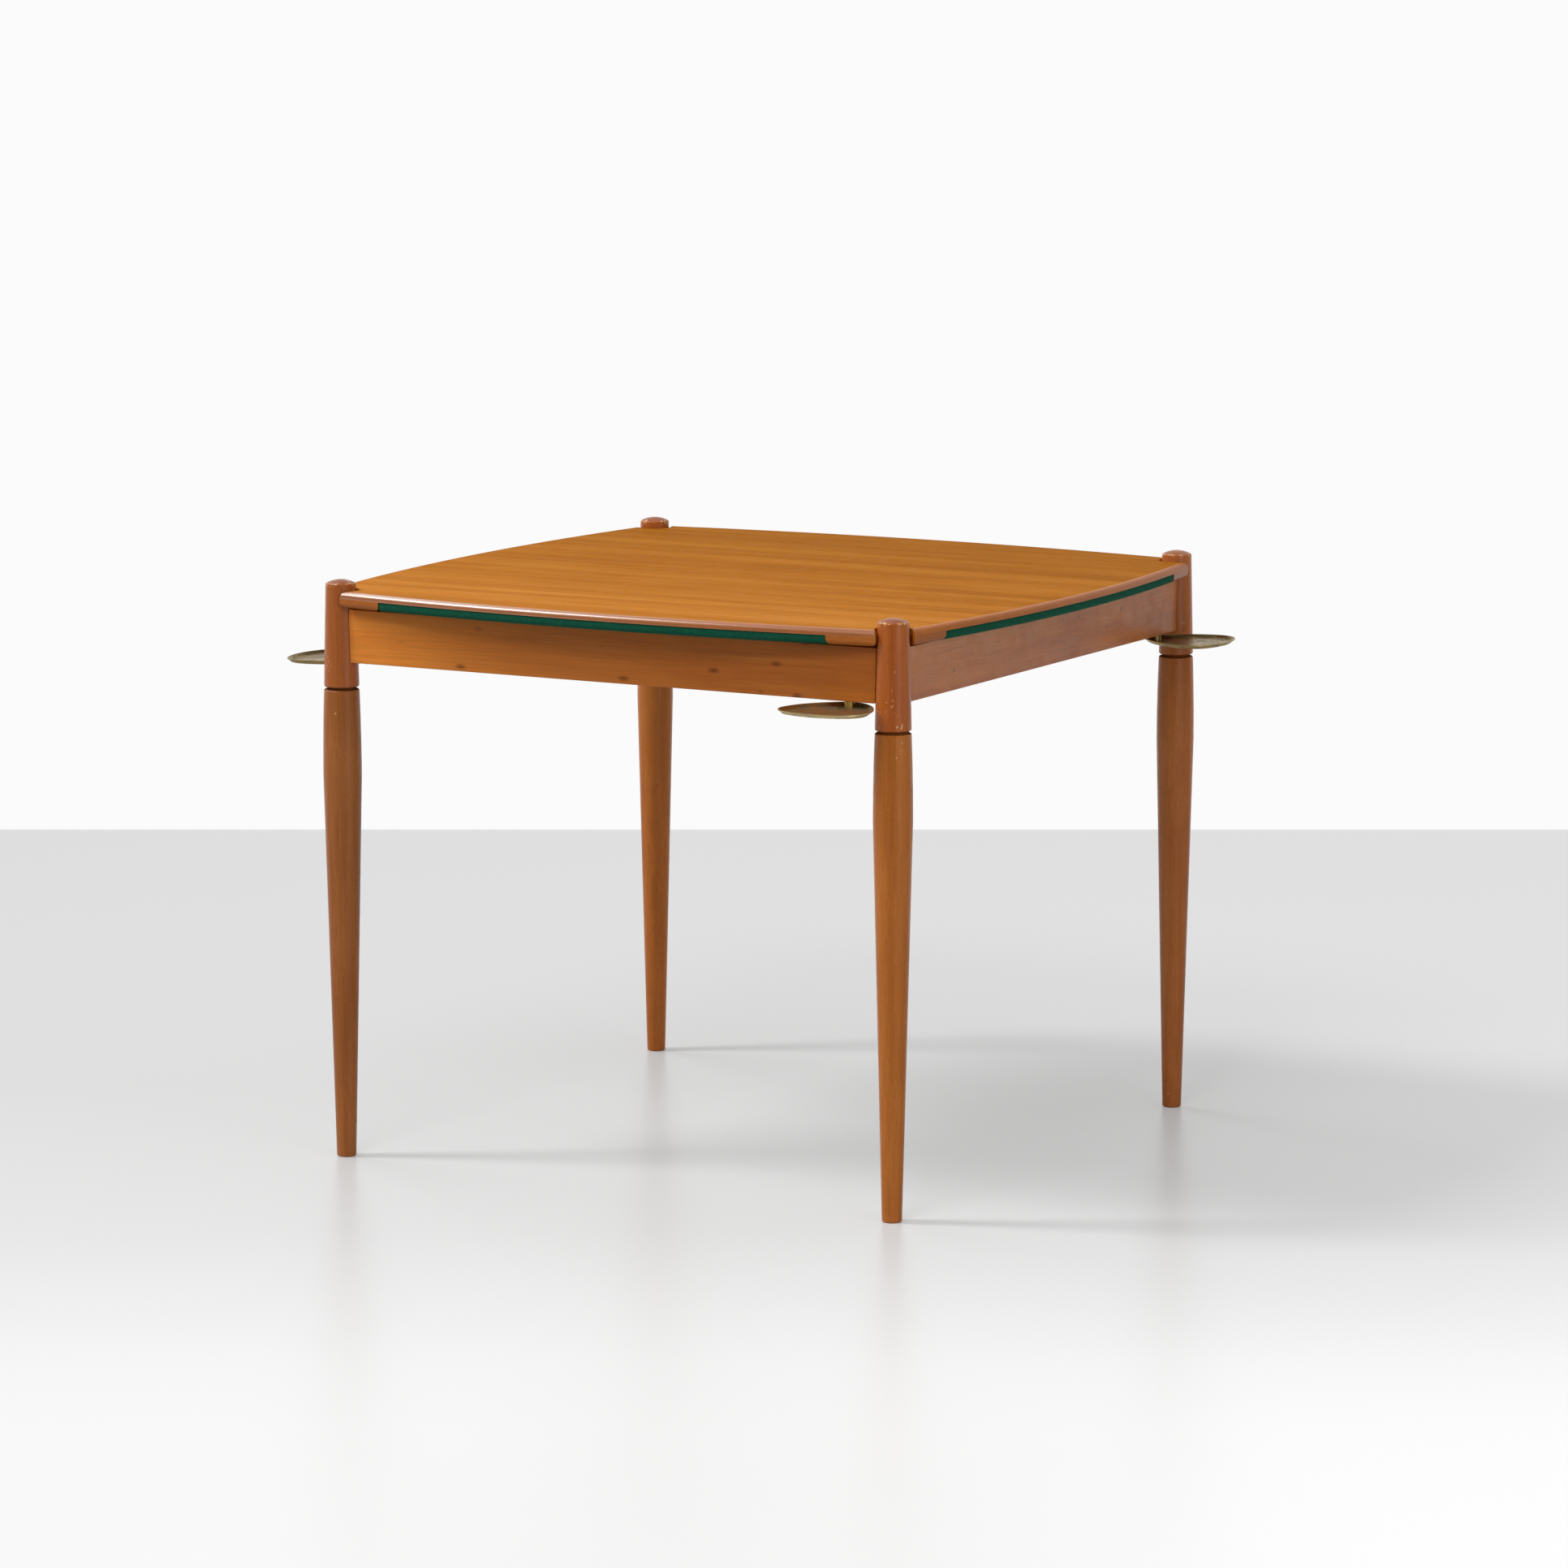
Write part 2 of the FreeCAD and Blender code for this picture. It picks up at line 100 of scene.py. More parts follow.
class Nodes:
    """A node tree, with short calls that add a node and feed its sockets."""

    def __init__(self, tree):
        self.tree = tree
        tree.nodes.clear()

    def feed(self, socket, value):
        """Link a socket to another, or set its value."""
        if isinstance(value, bpy.types.NodeSocket):
            self.tree.links.new(value, socket)
        else:
            socket.default_value = value

    def node(self, kind, inputs=None, **settings):
        """Add a node, and feed its inputs, which are given by name or number."""
        made = self.tree.nodes.new(kind)
        for key, value in settings.items():
            setattr(made, key, value)
        for key, value in (inputs or {}).items():
            self.feed(made.inputs[key], value)
        return made

    def place(self, scale=(1, 1, 1), turn=(0, 0, 0), shift=(0, 0, 0)):
        """Coordinates of the piece at rest, stretched, turned and shifted."""
        coords = self.node("ShaderNodeTexCoord").outputs["Object"]
        inputs = {"Vector": coords, "Scale": scale, "Rotation": turn, "Location": shift}
        return self.node("ShaderNodeMapping", inputs).outputs[0]

    def axis(self, vector, name):
        """One coordinate of a vector."""
        return self.node("ShaderNodeSeparateXYZ", {0: vector}).outputs[name]

    def combine(self, x=0.0, y=0.0, z=0.0):
        return self.node("ShaderNodeCombineXYZ", {"X": x, "Y": y, "Z": z}).outputs[0]

    def noise(self, where, scale=1.0, detail=2.0, rough=0.5, distortion=0.0):
        inputs = {"Vector": where, "Scale": scale, "Detail": detail, "Roughness": rough,
                  "Distortion": distortion}
        return self.node("ShaderNodeTexNoise", inputs).outputs["Fac"]

    def spots(self, where, scale=1.0):
        """Distance to the nearest of scattered points."""
        return self.node("ShaderNodeTexVoronoi", {"Vector": where, "Scale": scale}).outputs["Distance"]

    def math(self, operation, first, second=0.0):
        return self.node("ShaderNodeMath", {0: first, 1: second}, operation=operation).outputs[0]

    def vector(self, operation, first, second=(0, 0, 0), output="Vector"):
        return self.node("ShaderNodeVectorMath", {0: first, 1: second}, operation=operation).outputs[output]

    def span(self, value, low, high, to_low=0.0, to_high=1.0, smooth=True):
        """Value moved from one range to another and kept inside it."""
        inputs = {"Value": value, "From Min": low, "From Max": high, "To Min": to_low, "To Max": to_high}
        kind = "SMOOTHSTEP" if smooth else "LINEAR"
        return self.node("ShaderNodeMapRange", inputs, interpolation_type=kind).outputs[0]

    def band(self, value, low, high, rise, fall):
        """1 between two values and 0 outside them, with a soft rise before and a soft fall after."""
        above = self.span(value, low - rise, low)
        below = self.span(value, high, high + fall, 1.0, 0.0)
        return self.math("MULTIPLY", above, below)

    def mix(self, factor, first, second, blend="MIX"):
        inputs = {"Factor": factor, "A": first, "B": second}
        return self.node("ShaderNodeMix", inputs, data_type="RGBA", blend_type=blend).outputs["Result"]

    def ramp(self, factor, stops):
        """Colours along a factor, as (place, colour) pairs."""
        made = self.node("ShaderNodeValToRGB", {"Fac": factor})
        elements = made.color_ramp.elements
        while len(elements) < len(stops):
            elements.new(0.5)
        for element, (at, colour) in zip(elements, stops):
            element.position = at
            element.color = colour
        return made.outputs["Color"]

    def bump(self, height, strength, distance):
        inputs = {"Height": height, "Strength": strength, "Distance": distance}
        return self.node("ShaderNodeBump", inputs).outputs[0]

    def background(self, colour):
        return self.node("ShaderNodeBackground", {"Color": colour}).outputs[0]

    def choose(self, factor, first, second):
        """The first shader where the factor is 0, and the second where it is 1."""
        return self.node("ShaderNodeMixShader", {0: factor, 1: first, 2: second}).outputs[0]


class Shader(Nodes):
    """A material with one Principled surface."""

    def __init__(self, name):
        self.material = bpy.data.materials.new(name)
        self.material.use_nodes = True
        super().__init__(self.material.node_tree)
        self.surface = self.node("ShaderNodeBsdfPrincipled")
        self.output = self.node("ShaderNodeOutputMaterial", {"Surface": self.surface.outputs[0]})

    def finish(self, **inputs):
        """Feed the surface's sockets, by names with underscores for spaces."""
        for key, value in inputs.items():
            self.feed(self.surface.inputs[key.replace("_", " ")], value)
        return self.material


# Wood

GRAIN_TURN = {"x": (0, 0, 0), "y": (0, 0, math.radians(90)), "z": (0, math.radians(90), 0)}
BARE_WOOD = linear("E0BE8C")
HEAD_TINT = [0.66, 0.6, 0.56, 1]


def rounded_normal(s, along):
    """Normal of the bowed and rounded sides, worked out from the place on them.

    The facets of the mesh only come near that surface, and a highlight shows it. Where the mesh faces
    elsewhere, as at the ends of the strips, its own normal stays.
    """
    where = s.place()
    x, y, z = (s.axis(where, name) for name in "XYZ")
    if along == "x":
        y = s.math("ADD", y, s.math("MULTIPLY", s.math("SIGN", y), SIDE_CENTRE))
    else:
        x = s.math("ADD", x, s.math("MULTIPLY", s.math("SIGN", x), SIDE_CENTRE))
    outward = s.vector("NORMALIZE", s.combine(x, y))
    rise = s.span(z, SIDE_TOP - EDGE_ROUNDING, SIDE_TOP, smooth=False)
    reach = s.math("SQRT", s.math("SUBTRACT", 1.0, s.math("MULTIPLY", rise, rise)))
    sideways = s.node("ShaderNodeVectorMath", {0: outward, "Scale": reach}, operation="SCALE").outputs[0]
    turned = s.node("ShaderNodeVectorTransform", {0: s.vector("ADD", sideways, s.combine(z=rise))},
                    vector_type="NORMAL", convert_from="OBJECT", convert_to="WORLD").outputs[0]
    smooth = s.vector("NORMALIZE", turned)
    own = s.node("ShaderNodeNewGeometry").outputs["Normal"]
    agreement = s.vector("DOT_PRODUCT", own, smooth, "Value")
    return s.mix(s.span(agreement, 0.8, 0.92), own, smooth)


def chipped(s, height, wear):
    """Where the lacquer has chipped off: small chips at the heights of the list, larger ones at the rims
    of the posts' heads.
    """
    centres = s.spots(s.place((1.0, 1.0, 0.55)), 340.0)
    size = s.span(s.noise(s.place(), 90.0, 1.0), 0.40, 0.66, 0.0, 0.34)
    rows = s.span(s.noise(s.place((1.0, 1.0, 0.22)), 62.0), 0.52, 0.58)
    total = 0.0
    for low, high, amount in wear:
        away = s.math("ABSOLUTE", s.math("SUBTRACT", height, (low + high) / 2))
        near = s.span(away, (high - low) * 0.35, (high - low) * 0.5, amount, 0.0)
        total = s.math("MAXIMUM", total, near)
    reach = s.math("MULTIPLY", s.math("MULTIPLY", size, rows), total)
    small = s.span(s.math("SUBTRACT", reach, centres), -0.02, 0.04)
    large = s.span(s.noise(s.place(), 210.0, 2.0, 0.6), 0.575, 0.60)
    at_rim = s.band(height, HEAD_RIM - 0.0025, HEAD_RIM + 0.0008, 0.001, 0.0014)
    return s.math("MAXIMUM", small, s.math("MULTIPLY", large, at_rim))


def wood(name, axis, tones, figure=1.0, streaks=1.0, grain=1.0, gloss=0.36, level=0.35, relief=0.2,
         uneven=1.0, coat=0.0, specks=0.0, painted_light=(), wear=(), rounded=False):
    """Lacquered wood with its grain along one axis, from a dark, a middle and a light tone.

    Broad figure, fine streaks and pores are noises stretched along the grain, and grain says how fine
    the figure is. Specks are small dark knots. Uneven says how much the gloss varies. The list of painted
    light and shade gives changes of colour along a direction (its name, from, to, colour there, colour
    here), by which the wood is multiplied: lighter where the lamps fall, darker away from them, and a
    painted sheen where it is bluer. Wear is a list of heights (low, high, amount) where the lacquer has
    chipped to bare wood; wood that has it is a post or a leg, and gets painted shade in the groove
    between post and leg, and the darker head too. Rounded is for the bowed edges, whose coat is thinner
    to the right.
    """
    dark, middle, light = tones
    s = Shader(name)
    turn = GRAIN_TURN[axis]
    along = s.place(turn=turn)
    drift = s.noise(s.place((2.2, 9.0, 9.0), turn))
    bent = s.node("ShaderNodeVectorMath", {0: drift, 1: (0.0, 0.016, 0.016), 2: along},
                  operation="MULTIPLY_ADD").outputs[0]

    def stretched(length, width, detail, rough):
        """Noise stretched along the grain."""
        return s.noise(s.vector("MULTIPLY", bent, (length, width, width)), 1.0, detail, rough)

    broad = stretched(0.9, 13.0 * grain, 3.0, 0.55)
    rings = stretched(1.6, 75.0 * grain, 4.0, 0.62)
    fine = stretched(9.0, 420.0, 2.0, 0.6)
    pore = s.span(stretched(70.0, 1500.0, 1.0, 0.5), 0.60, 0.72)
    blotch = s.noise(along, 7.0)

    mixed = s.math("ADD", s.math("MULTIPLY", broad, 0.55), s.math("MULTIPLY", rings, 0.30))
    mixed = s.math("ADD", mixed, s.math("MULTIPLY", blotch, 0.15))
    spread = 0.17 / figure
    body = s.ramp(s.span(mixed, 0.5 - spread, 0.5 + spread, smooth=False),
                  [(0.0, dark), (0.5, middle), (1.0, light)])
    body = s.mix(s.math("MULTIPLY", s.span(rings, 0.57, 0.68), 0.30 * streaks), body, dark)
    body = s.mix(1.0, body, s.span(fine, 0.36, 0.66, 1.05, 0.92), "MULTIPLY")
    # Painted light and shade along the piece, by which the wood is multiplied.
    for direction, start, end, first_colour, last_colour in painted_light:
        tint = s.mix(s.span(s.axis(s.place(), direction), start, end), first_colour, last_colour)
        body = s.mix(1.0, body, tint, "MULTIPLY")
    body = s.mix(s.math("MULTIPLY", pore, 0.22 * streaks), body, scaled(dark, 0.45))
    if specks:
        centres = s.spots(s.place((19.0, 44.0, 44.0), turn, (0.37, 0.11, 0.23)))
        rare = s.span(s.noise(along, 17.0, 1.0), 0.50, 0.55)
        knot = s.math("MULTIPLY", s.span(centres, 0.03, 0.22, 1.0, 0.0), rare)
        body = s.mix(s.math("MULTIPLY", knot, specks), body, scaled(dark, 0.35))

    polish = s.noise(along, 60.0, 3.0, 0.6)
    roughness = s.span(polish, 0.3, 0.7, gloss - 0.05 * uneven, gloss + 0.07 * uneven)
    relief_map = s.math("ADD", s.math("MULTIPLY", fine, 0.5), s.math("MULTIPLY", pore, -0.5))
    if wear:
        height = s.axis(s.place(), "Z")
        # Painted shade in the groove between a post's foot and its leg's head, where the recess lies in
        # shadow.
        groove = s.band(height, GROOVE_LOW, GROOVE_HIGH, 0.0003, 0.0004)
        body = s.mix(s.math("MULTIPLY", groove, 0.85), body, scaled(dark, 0.6))
        head = s.span(height, HEAD_RIM, HEAD_RIM + 0.0015)
        body = s.mix(head, body, s.mix(1.0, body, HEAD_TINT, "MULTIPLY"))
        chip = chipped(s, height, wear)
        body = s.mix(s.math("MULTIPLY", chip, 0.8), body, BARE_WOOD)
        roughness = s.mix(chip, roughness, grey(0.7))
        roughness = s.mix(groove, roughness, grey(0.9))
        relief_map = s.math("ADD", relief_map, s.math("MULTIPLY", chip, -2.0))
    if rounded:
        normal = rounded_normal(s, axis)
        coat = s.span(s.axis(s.place(), "X"), -0.30, 0.30, coat, coat * 0.4)
        s.finish(Coat_Roughness=0.3, Coat_IOR=2.1, Normal=normal, Coat_Normal=normal)
    else:
        s.finish(Coat_Roughness=0.25, Normal=s.bump(relief_map, relief, 0.00012))
    return s.finish(Base_Color=body, Roughness=roughness, Specular_IOR_Level=level, Coat_Weight=coat)


TOP_TONES = (linear("955612"), linear("B26D20"), linear("C48032"))
EDGE_TONES = (linear("8D4915"), linear("A0571A"), linear("AD6427"))
FRAME_TONES = (linear("984C12"), linear("B6631C"), linear("C8762A"))
POST_TONES = (linear("964A16"), linear("AE5A1E"), linear("BE6A28"))
LEG_TONES = (linear("935019"), linear("AC6222"), linear("BC722E"))
BLOCK_TONES = (linear("A98558"), linear("BF9C6E"), linear("CFAF84"))
# Lighter copies of the edge tones: painted light on the side strips and on the top's corners, with a
# painted sheen where blue is raised most.
SIDE_EDGE_PAINTED_SHEEN = (1.3, 1.38, 1.5)
TOP_CORNER_PAINTED_LIGHT = (1.15, 1.18, 1.2)
# Per corner factors for the posts: painted light and shade, lighter where the lamps fall, darker on the far
# side, and a painted sheen on the back right post where blue is raised.
POST_PAINTED_LIGHT = {"front_right": (0.98, 0.98, 1.1), "back_right": (0.96, 1.13, 1.95),
               "back_left": (0.95, 0.95, 1.1), "front_left": (0.83, 0.88, 1.2)}
# Per corner factors for the legs: painted light and shade, with a painted sheen where blue is raised, and
# partly each leg's own tone.
LEG_PAINTED_LIGHT_AND_TONE = {"front_right": (1.1, 1.1, 1.1), "back_right": (0.96, 0.94, 1.4),
              "back_left": (1.15, 1.12, 1.1), "front_left": (0.76, 0.78, 1.1)}
# Painted light on the top: lighter and bluer towards the front, where the lamps fall and a painted sheen
# shows, darker towards the back.
TOP_PAINTED_LIGHT = [("Y", -0.42, 0.0, [1.14, 1.18, 1.5, 1], [0.95, 0.95, 0.9, 1]),
            ("Y", 0.0, 0.42, [1, 1, 1, 1], [0.88, 0.88, 0.76, 1])]
# Painted light on the front and back aprons: lighter and bluer at the left end, where the lamps reach under
# the top, darker towards the right.
APRON_PAINTED_LIGHT = [("X", -0.37, -0.06, [1.42, 1.62, 1.95, 1], [1, 1.03, 1.3, 1]),
              ("X", 0.0, 0.37, [1, 1, 1, 1], [0.93, 0.93, 0.93, 1])]
POST_WEAR = [(0.728, 0.746, 1.5), (0.6055, 0.622, 1.3), (0.61, 0.74, 0.7)]
LEG_WEAR = [(0.570, 0.606, 0.8), (0.0, 0.03, 0.9), (0.03, 0.58, 0.3)]

woods = {
    "top": wood("top_veneer", "x", TOP_TONES, figure=0.75, streaks=0.7, grain=2.0, gloss=0.6,
                level=0.008, painted_light=TOP_PAINTED_LIGHT),
    "apron_x": wood("frame_wood_x", "x", FRAME_TONES, figure=0.85, streaks=0.6, grain=1.3, gloss=0.34,
                    level=0.22, relief=0.1, specks=0.7, painted_light=APRON_PAINTED_LIGHT),
    "apron_y": wood("frame_wood_y", "y", FRAME_TONES, figure=1.4, gloss=0.34, level=0.42, relief=0.1,
                    specks=0.6),
    "edge_x": wood("edge_wood_x", "x", EDGE_TONES, figure=0.8, gloss=0.4, level=0.3, uneven=0.1,
                   coat=1.0, rounded=True),
    "edge_y": wood("edge_wood_y", "y", shaded(EDGE_TONES, SIDE_EDGE_PAINTED_SHEEN), figure=0.8, gloss=0.4,
                   level=0.15, uneven=0.1, coat=0.2, rounded=True),
    "top_corner": wood("top_corner_wood", "x", shaded(EDGE_TONES, TOP_CORNER_PAINTED_LIGHT), figure=0.8,
                       gloss=0.4, level=0.15, relief=0.01, uneven=0.1, coat=0.2),
    "block": wood("block_wood", "z", BLOCK_TONES, gloss=0.6, level=0.2),
    "board": wood("felt_board_wood", "x", BLOCK_TONES, gloss=0.6, level=0.2),
}
for corner in CORNERS:
    post_tones = shaded(POST_TONES, POST_PAINTED_LIGHT[corner])
    leg_tones = shaded(LEG_TONES, LEG_PAINTED_LIGHT_AND_TONE[corner])
    woods["post_" + corner] = wood("post_wood_" + corner, "z", post_tones, figure=1.3, gloss=0.28,
                                   level=0.27, relief=0.05, wear=POST_WEAR)
    woods["leg_" + corner] = wood("leg_wood_" + corner, "z", leg_tones, figure=1.3, gloss=0.29,
                                  level=0.22, relief=0.05, wear=LEG_WEAR)


# Metals, rubber and felt

def brass(name, base, stain, amount, gloss, rim=None):
    """Aged brass: darker and duller stains in blots, with fine scratches. A rim, given as two heights,
    is rubbed brighter.
    """
    s = Shader(name)
    blots = s.noise(s.place(), 55.0, 4.0, 0.65, 0.4)
    fine = s.noise(s.place(), 420.0, 3.0, 0.6)
    mixed = s.math("ADD", s.math("MULTIPLY", blots, 0.7), s.math("MULTIPLY", fine, 0.3))
    stained = s.span(mixed, 0.44, 0.60, 0.0, amount)
    if rim:
        stained = s.math("MULTIPLY", stained, s.span(s.axis(s.place(), "Z"), *rim, 1.0, 0.35))
    roughness = s.math("ADD", s.math("MULTIPLY", stained, 0.25), s.span(fine, 0.3, 0.7, gloss, gloss + 0.1))
    return s.finish(Base_Color=s.mix(stained, base, stain), Metallic=1.0, Roughness=roughness,
                    Normal=s.bump(mixed, 0.3, 0.00015))


def plain_metal(name, base, gloss):
    """Plated metal with a fine, uneven polish."""
    s = Shader(name)
    fine = s.noise(s.place(), 600.0, 3.0, 0.6)
    return s.finish(Base_Color=s.mix(fine, scaled(base, 0.9), base), Metallic=1.0,
                    Roughness=s.span(fine, 0.3, 0.7, gloss, gloss + 0.12))


def felt(name, dark, light):
    """Woollen baize: matted fibres, a light nap and a few specks of lint."""
    s = Shader(name)
    fibres = s.noise(s.place(), 1500.0, 3.0, 0.7, 0.6)
    clumps = s.noise(s.place(), 260.0, 3.0, 0.6)
    body = s.mix(s.span(fibres, 0.3, 0.7, smooth=False), dark, light)
    body = s.mix(1.0, body, s.span(clumps, 0.3, 0.7, 0.85, 1.15), "MULTIPLY")
    lint = s.math("MULTIPLY", s.span(s.spots(s.place(), 330.0), 0.07, 0.12, 1.0, 0.0),
                  s.span(s.noise(s.place(), 140.0, 1.0), 0.64, 0.68))
    body = s.mix(s.math("MULTIPLY", lint, 0.7), body, linear("9FB8A8"))
    height = s.math("ADD", s.math("MULTIPLY", fibres, 0.7), s.math("MULTIPLY", clumps, 0.5))
    return s.finish(Base_Color=body, Roughness=0.95, Specular_IOR_Level=0.1, Sheen_Weight=0.25,
                    Sheen_Roughness=0.45, Sheen_Tint=linear("5FA287"), Normal=s.bump(height, 0.8, 0.0005))


def rubber(name, base):
    """Matt rubber with a gritty surface."""
    s = Shader(name)
    grit = s.noise(s.place(), 500.0, 3.0, 0.6)
    return s.finish(Base_Color=s.mix(grit, scaled(base, 0.7), base), Roughness=0.8, Specular_IOR_Level=0.3,
                    Normal=s.bump(grit, 0.3, 0.0002))


TRAY_TONES = (linear("C8B27C"), linear("9A8E7A"))
# Per corner factors for the trays: painted shade on the trays that sit in shadow, and partly their own
# uneven tarnish.
TRAY_SHADE_AND_TARNISH = {"front_right": (1.0, 1.0, 1.0), "back_right": (0.62, 0.56, 0.48),
               "back_left": (0.8, 0.8, 0.75), "front_left": (0.55, 0.5, 0.43)}
TRAY_RIM = (TRAY_TOP - 0.003, TRAY_TOP - 0.001)
pin_brass = brass("pin_brass", linear("D8BE7E"), linear("94794A"), 0.4, 0.3)
socket_brass = brass("socket_brass", linear("CBAA5C"), linear("80683A"), 0.3, 0.25)
steel = plain_metal("zinc_steel", linear("B9BABC"), 0.28)
green_felt = felt("green_felt", linear("0A3A2A"), linear("186048"))
pad_rubber = rubber("pad_rubber", linear("3A352F"))


# Materials of the nodes

def dress(node, material):
    """Give a node of the model its material."""
    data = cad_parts[node].data
    data.materials.clear()
    data.materials.append(material)


for corner in CORNERS:
    dress("post_" + corner, woods["post_" + corner])
    dress("leg_" + corner, woods["leg_" + corner])
    dress("leg_stud_" + corner, steel)
    dress("corner_block_" + corner, woods["block"])
    dress("top_corner_" + corner, woods["top_corner"])
    tray_tones = shaded(TRAY_TONES, TRAY_SHADE_AND_TARNISH[corner])
    dress("tray_" + corner, brass("tray_brass_" + corner, *tray_tones, 0.8, 0.31, TRAY_RIM))
for side in SIDES:
    along = "x" if side in ("front", "back") else "y"
    dress("apron_" + side, woods["apron_" + along])
    dress("edge_strip_" + side, woods["edge_" + along])
for node in ("tray_spacers", "tray_washers", "tray_screws"):
    dress(node, pin_brass)
dress("top_board", woods["top"])
dress("felt_board", woods["board"])
dress("felt_cover", green_felt)
dress("leg_sockets", socket_brass)
dress("rest_pads", pad_rubber)


# Mesh helpers

def new_piece(name, bm, material, smooth=True):
    """Mesh object from a bmesh."""
    data = bpy.data.meshes.new(name)
    bm.normal_update()
    bm.to_mesh(data)
    bm.free()
    data.materials.append(material)
    for polygon in data.polygons:
        polygon.use_smooth = smooth
    piece = bpy.data.objects.new(name, data)
    scene.collection.objects.link(piece)
    return piece


def skin(bm, rings):
    """Faces between rings with equally many points, and one at either end. Returns them all."""
    faces = []
    for lower, higher in zip(rings, rings[1:]):
        for i in range(len(lower)):
            j = (i + 1) % len(lower)
            faces.append(bm.faces.new((lower[i], lower[j], higher[j], higher[i])))
    faces.append(bm.faces.new(list(reversed(rings[0]))))
    faces.append(bm.faces.new(rings[-1]))
    return faces


# Felt cloth

CLOTH_THICKNESS = 0.0013
CLOTH_ROUNDING = 0.006          # of its lower edge
CLOTH_RIM = 0.0012              # of its upper edge, where it turns in


def felt_outline(inset, per_side, per_corner):
    """Points round the felt layer at an inset, four bowed sides and four short slanted edges."""
    radius = SIDE_RADIUS - FELT_SETBACK - inset
    corner_sum = 2 * HALF - (FELT_CORNER + inset) * math.sqrt(2)
    # The front side y = SIDE_CENTRE - sqrt(radius^2 - x^2) meets the slanted edge x - y = corner_sum
    low, high = 0.0, SIDE_END + 0.05
    for _ in range(60):
        middle = (low + high) / 2
        y = SIDE_CENTRE - math.sqrt(radius ** 2 - middle ** 2)
        if middle - y < corner_sum:
            low = middle
        else:
            high = middle
    lean = math.asin((low + high) / 2 / radius)
    side = []
    for i in range(per_side + 1):
        angle = lean * (2 * i / per_side - 1)
        side.append(Vector((radius * math.sin(angle), SIDE_CENTRE - radius * math.cos(angle))))
    points = []
    for count in range(4):
        here = [Matrix.Rotation(math.radians(90 * count), 2) @ point for point in side]
        there = Matrix.Rotation(math.radians(90 * (count + 1)), 2) @ side[0]
        points += here
        points += [here[-1].lerp(there, j / per_corner) for j in range(1, per_corner)]
    return points


def cloth_profile():
    """Points (inset, lift) from under the board, round its lower edge and up to the turned-in rim."""
    profile = [(0.06, 0.0), (0.02, 0.0)]
    for step in range(8):
        angle = math.radians(90 * step / 7)
        profile.append((CLOTH_ROUNDING * (1 - math.sin(angle)), CLOTH_ROUNDING * (1 - math.cos(angle))))
    upper = FELT_TOP - FELT_BOTTOM - 0.0003
    for step in range(4):
        angle = math.radians(90 * step / 3)
        profile.append((CLOTH_RIM * (1 - math.cos(angle)), upper - CLOTH_RIM * (1 - math.sin(angle))))
    return profile + [(CLOTH_RIM + 0.0006, upper)]


def make_felt():
    """Cloth drawn over the felt board."""
    bm = bmesh.new()
    rings = []
    for inset, lift in cloth_profile():
        outline = felt_outline(inset, per_side=56, per_corner=10)
        rings.append([bm.verts.new((point.x, point.y, FELT_BOTTOM + lift)) for point in outline])
    bm.faces.remove(skin(bm, rings)[-1])
    cloth = new_piece("felt_cloth", bm, green_felt)
    thick = cloth.modifiers.new("thickness", "SOLIDIFY")
    thick.thickness = CLOTH_THICKNESS
    thick.offset = -1.0
    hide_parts("felt_cover")
    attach(cloth, "top")


make_felt()


# Threaded studs

STUD_RADIUS = 0.005
THREAD_PITCH = 0.0015
THREAD_DEPTH = 0.0008


def threaded_rod(bm, foot, low, high):
    """Rod with a helical thread between two heights."""
    around = 20
    rows = int((high - low) / THREAD_PITCH * 4)
    rings = []
    for row in range(rows + 1):
        height = low + (high - low) * row / rows
        ring = []
        for i in range(around):
            angle = 2 * math.pi * i / around
            phase = ((height - low) / THREAD_PITCH - i / around) % 1.0
            crest = 0.0 if row in (0, rows) else 1 - abs(2 * phase - 1)
            radius = STUD_RADIUS - THREAD_DEPTH * (1 - min(1.0, crest * 1.25))
            x = foot.x + radius * math.cos(angle)
            y = foot.y + radius * math.sin(angle)
            ring.append(bm.verts.new((x, y, height)))
        rings.append(ring)
    skin(bm, rings)


def make_studs():
    """A threaded stud on the head of each leg."""
    for corner in CORNERS:
        low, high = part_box("leg_stud_" + corner)
        bm = bmesh.new()
        threaded_rod(bm, (low + high) / 2, low.z, high.z)
        stud = new_piece("threaded_stud_" + corner, bm, steel)
        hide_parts("leg_stud_" + corner)
        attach(stud, "leg_" + corner)


make_studs()


# Slotted tray screws

SCREW_HEAD_RADIUS = 0.0046
SCREW_SHANK_RADIUS = 0.0025
SLOT_HALF = 0.0005              # half its width
SLOT_DEPTH = 0.0011


